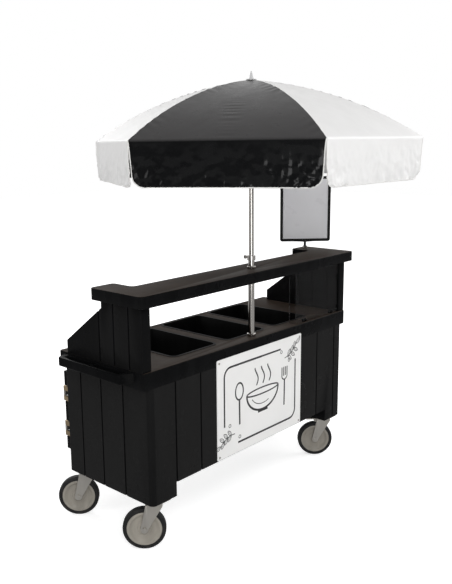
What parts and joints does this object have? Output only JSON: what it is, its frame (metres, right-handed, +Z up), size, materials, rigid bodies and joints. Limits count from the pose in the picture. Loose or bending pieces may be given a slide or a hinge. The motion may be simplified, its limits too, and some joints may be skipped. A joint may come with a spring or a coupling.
{
  "type": "mobile vending cart",
  "caption": "Wheeled food vending cart with a welled counter, a customer shelf, a clear shield, a blank sign and a two-colour umbrella on a chromed mast.",
  "frame": {"origin": "on the floor on the mast's axis, the middle of the whole object's outline", "axes": "+X along the cart to the customer's right, +Y to the operator's side, +Z up; the customer stands at -Y"},
  "size_m": [1.724, 1.3856, 2.18],
  "materials": {
    "black_plastic": "satin grained moulding",
    "door_plastic": "satin moulding",
    "liner_black": "satin",
    "clear_sheet": "clear polished sheet",
    "chassis_steel": "matt",
    "zinc_steel": "dull zinc plate",
    "wheel_grey": "satin",
    "tyre_black": "matt",
    "chrome_tube": "polished",
    "hinge_brass": "satin",
    "banner_board": "satin print",
    "canopy_white": "coated cloth",
    "canopy_black": "coated cloth",
    "rib_steel": "satin",
    "runner_white": "satin",
    "sign_black": "satin",
    "sign_grey": "satin"
  },
  "bodies": {
    "cart": {"body_shell": "black_plastic", "cupboard_divider": "door_plastic", "chassis_frame": "chassis_steel", "counter_top": "black_plastic", "well_liners": "liner_black", "end_guard_left": "black_plastic", "end_guard_right": "black_plastic", "customer_shelf": "black_plastic", "clear_shield": "clear_sheet", "shield_clips": "black_plastic", "front_banner": "banner_board", "banner_screws": "zinc_steel", "end_handles": "black_plastic", "hinge_posts": "hinge_brass", "caster_plates": "zinc_steel", "caster_bolts": "zinc_steel", "mast_socket": "chassis_steel", "pole_collars": "chrome_tube"},
    "door_left": {"door_left": "door_plastic", "hinge_leaves_left": "zinc_steel", "door_pull_left": "zinc_steel"},
    "door_right": {"door_right": "door_plastic", "hinge_leaves_right": "zinc_steel", "door_pull_right": "zinc_steel"},
    "caster_front_left": {"caster_fork_front_left": "zinc_steel"},
    "wheel_front_left": {"caster_wheel_front_left": "wheel_grey", "caster_tyre_front_left": "tyre_black"},
    "caster_front_right": {"caster_fork_front_right": "zinc_steel"},
    "wheel_front_right": {"caster_wheel_front_right": "wheel_grey", "caster_tyre_front_right": "tyre_black"},
    "caster_back_left": {"caster_fork_back_left": "zinc_steel"},
    "wheel_back_left": {"caster_wheel_back_left": "wheel_grey", "caster_tyre_back_left": "tyre_black"},
    "caster_back_right": {"caster_fork_back_right": "zinc_steel"},
    "wheel_back_right": {"caster_wheel_back_right": "wheel_grey", "caster_tyre_back_right": "tyre_black"},
    "brake_front_right": {"brake_pedal_front_right": "zinc_steel"},
    "brake_back_right": {"brake_pedal_back_right": "zinc_steel"},
    "mast": {"mast_lower_tube": "chrome_tube", "mast_clamp": "chrome_tube"},
    "umbrella": {"mast_upper_tube": "chrome_tube", "umbrella_hub": "runner_white", "finial": "runner_white", "canopy_white_panels": "canopy_white", "canopy_black_panels": "canopy_black"},
    "runner": {"umbrella_runner": "runner_white"},
    "rib_1": {"rib_1": "rib_steel"},
    "stretcher_1": {"stretcher_1": "rib_steel"},
    "rib_2": {"rib_2": "rib_steel"},
    "stretcher_2": {"stretcher_2": "rib_steel"},
    "rib_3": {"rib_3": "rib_steel"},
    "stretcher_3": {"stretcher_3": "rib_steel"},
    "rib_4": {"rib_4": "rib_steel"},
    "stretcher_4": {"stretcher_4": "rib_steel"},
    "rib_5": {"rib_5": "rib_steel"},
    "stretcher_5": {"stretcher_5": "rib_steel"},
    "rib_6": {"rib_6": "rib_steel"},
    "stretcher_6": {"stretcher_6": "rib_steel"},
    "sign": {"sign_frame": "sign_black", "sign_panel": "sign_grey"}
  },
  "joints": [
    {"name": "door_left_hinge", "type": "hinge", "parent": "cart", "child": "door_left", "pos_m": [-0.746, 0.589, 0.5425], "axis": [0, 0, 1], "range_deg": [0, 110]},
    {"name": "door_right_hinge", "type": "hinge", "parent": "cart", "child": "door_right", "pos_m": [0.746, 0.589, 0.5425], "axis": [0, 0, -1], "range_deg": [0, 110]},
    {"name": "caster_front_left_swivel", "type": "hinge", "parent": "cart", "child": "caster_front_left", "pos_m": [-0.694, 0.002, 0.2237], "axis": [0, 0, 1], "continuous": true},
    {"name": "wheel_front_left_spin", "type": "hinge", "parent": "caster_front_left", "child": "wheel_front_left", "pos_m": [-0.733, 0.043, 0.1016], "axis": [0.7246, 0.6892, 0], "continuous": true},
    {"name": "caster_front_right_swivel", "type": "hinge", "parent": "cart", "child": "caster_front_right", "pos_m": [0.694, 0.002, 0.2237], "axis": [0, 0, 1], "continuous": true},
    {"name": "wheel_front_right_spin", "type": "hinge", "parent": "caster_front_right", "child": "wheel_front_right", "pos_m": [0.655, 0.043, 0.1016], "axis": [0.7246, 0.6892, 0], "continuous": true},
    {"name": "caster_back_left_swivel", "type": "hinge", "parent": "cart", "child": "caster_back_left", "pos_m": [-0.694, 0.488, 0.2237], "axis": [0, 0, 1], "continuous": true},
    {"name": "wheel_back_left_spin", "type": "hinge", "parent": "caster_back_left", "child": "wheel_back_left", "pos_m": [-0.733, 0.529, 0.1016], "axis": [0.7246, 0.6892, 0], "continuous": true},
    {"name": "caster_back_right_swivel", "type": "hinge", "parent": "cart", "child": "caster_back_right", "pos_m": [0.694, 0.488, 0.2237], "axis": [0, 0, 1], "continuous": true},
    {"name": "wheel_back_right_spin", "type": "hinge", "parent": "caster_back_right", "child": "wheel_back_right", "pos_m": [0.655, 0.529, 0.1016], "axis": [0.7246, 0.6892, 0], "continuous": true},
    {"name": "brake_front_right_pedal", "type": "hinge", "parent": "caster_front_right", "child": "brake_front_right", "pos_m": [0.66368, 0.03388, 0.2237], "axis": [-0.7246, -0.6892, 0], "range_deg": [0, 20]},
    {"name": "brake_back_right_pedal", "type": "hinge", "parent": "caster_back_right", "child": "brake_back_right", "pos_m": [0.66368, 0.51988, 0.2237], "axis": [-0.7246, -0.6892, 0], "range_deg": [0, 20]},
    {"name": "mast_turn", "type": "hinge", "parent": "cart", "child": "mast", "pos_m": [0, 0, 0.332], "axis": [0, 0, 1], "continuous": true},
    {"name": "umbrella_height", "type": "slide", "parent": "mast", "child": "umbrella", "axis": [0, 0, 1], "range_m": [0, 0.12]},
    {"name": "umbrella_fold", "type": "slide", "parent": "umbrella", "child": "runner", "axis": [0, 0, 1], "range_m": [-0.254, 0], "deforming": ["canopy_white_panels", "canopy_black_panels"]},
    {"name": "rib_1_hinge", "type": "hinge", "parent": "umbrella", "child": "rib_1", "pos_m": [0.03, 0, 2.122], "axis": [0, 1, 0], "range_deg": [0, 55]},
    {"name": "stretcher_1_hinge", "type": "hinge", "parent": "rib_1", "child": "stretcher_1", "pos_m": [0.28, 0, 2.06623], "axis": [0, -1, 0], "range_deg": [0, 78.3]},
    {"name": "rib_2_hinge", "type": "hinge", "parent": "umbrella", "child": "rib_2", "pos_m": [0.015, 0.02598, 2.122], "axis": [-0.866, 0.5, 0], "range_deg": [0, 55]},
    {"name": "stretcher_2_hinge", "type": "hinge", "parent": "rib_2", "child": "stretcher_2", "pos_m": [0.14, 0.24249, 2.06623], "axis": [0.866, -0.5, 0], "range_deg": [0, 78.3]},
    {"name": "rib_3_hinge", "type": "hinge", "parent": "umbrella", "child": "rib_3", "pos_m": [-0.015, 0.02598, 2.122], "axis": [-0.866, -0.5, 0], "range_deg": [0, 55]},
    {"name": "stretcher_3_hinge", "type": "hinge", "parent": "rib_3", "child": "stretcher_3", "pos_m": [-0.14, 0.24249, 2.06623], "axis": [0.866, 0.5, 0], "range_deg": [0, 78.3]},
    {"name": "rib_4_hinge", "type": "hinge", "parent": "umbrella", "child": "rib_4", "pos_m": [-0.03, 0, 2.122], "axis": [0, -1, 0], "range_deg": [0, 55]},
    {"name": "stretcher_4_hinge", "type": "hinge", "parent": "rib_4", "child": "stretcher_4", "pos_m": [-0.28, 0, 2.06623], "axis": [0, 1, 0], "range_deg": [0, 78.3]},
    {"name": "rib_5_hinge", "type": "hinge", "parent": "umbrella", "child": "rib_5", "pos_m": [-0.015, -0.02598, 2.122], "axis": [0.866, -0.5, 0], "range_deg": [0, 55]},
    {"name": "stretcher_5_hinge", "type": "hinge", "parent": "rib_5", "child": "stretcher_5", "pos_m": [-0.14, -0.24249, 2.06623], "axis": [-0.866, 0.5, 0], "range_deg": [0, 78.3]},
    {"name": "rib_6_hinge", "type": "hinge", "parent": "umbrella", "child": "rib_6", "pos_m": [0.015, -0.02598, 2.122], "axis": [0.866, 0.5, 0], "range_deg": [0, 55]},
    {"name": "stretcher_6_hinge", "type": "hinge", "parent": "rib_6", "child": "stretcher_6", "pos_m": [0.14, -0.24249, 2.06623], "axis": [-0.866, -0.5, 0], "range_deg": [0, 78.3]},
    {"name": "sign_turn", "type": "hinge", "parent": "cart", "child": "sign", "pos_m": [0.746, 0.195, 1.222], "axis": [0, 0, 1], "continuous": true}
  ],
  "couplings": [
    {"joint": "rib_1_hinge", "follows": "umbrella_fold", "rad_per_m": -3.779},
    {"joint": "stretcher_1_hinge", "follows": "umbrella_fold", "rad_per_m": -5.3729},
    {"joint": "rib_2_hinge", "follows": "umbrella_fold", "rad_per_m": -3.779},
    {"joint": "stretcher_2_hinge", "follows": "umbrella_fold", "rad_per_m": -5.3729},
    {"joint": "rib_3_hinge", "follows": "umbrella_fold", "rad_per_m": -3.779},
    {"joint": "stretcher_3_hinge", "follows": "umbrella_fold", "rad_per_m": -5.3729},
    {"joint": "rib_4_hinge", "follows": "umbrella_fold", "rad_per_m": -3.779},
    {"joint": "stretcher_4_hinge", "follows": "umbrella_fold", "rad_per_m": -5.3729},
    {"joint": "rib_5_hinge", "follows": "umbrella_fold", "rad_per_m": -3.779},
    {"joint": "stretcher_5_hinge", "follows": "umbrella_fold", "rad_per_m": -5.3729},
    {"joint": "rib_6_hinge", "follows": "umbrella_fold", "rad_per_m": -3.779},
    {"joint": "stretcher_6_hinge", "follows": "umbrella_fold", "rad_per_m": -5.3729}
  ]
}
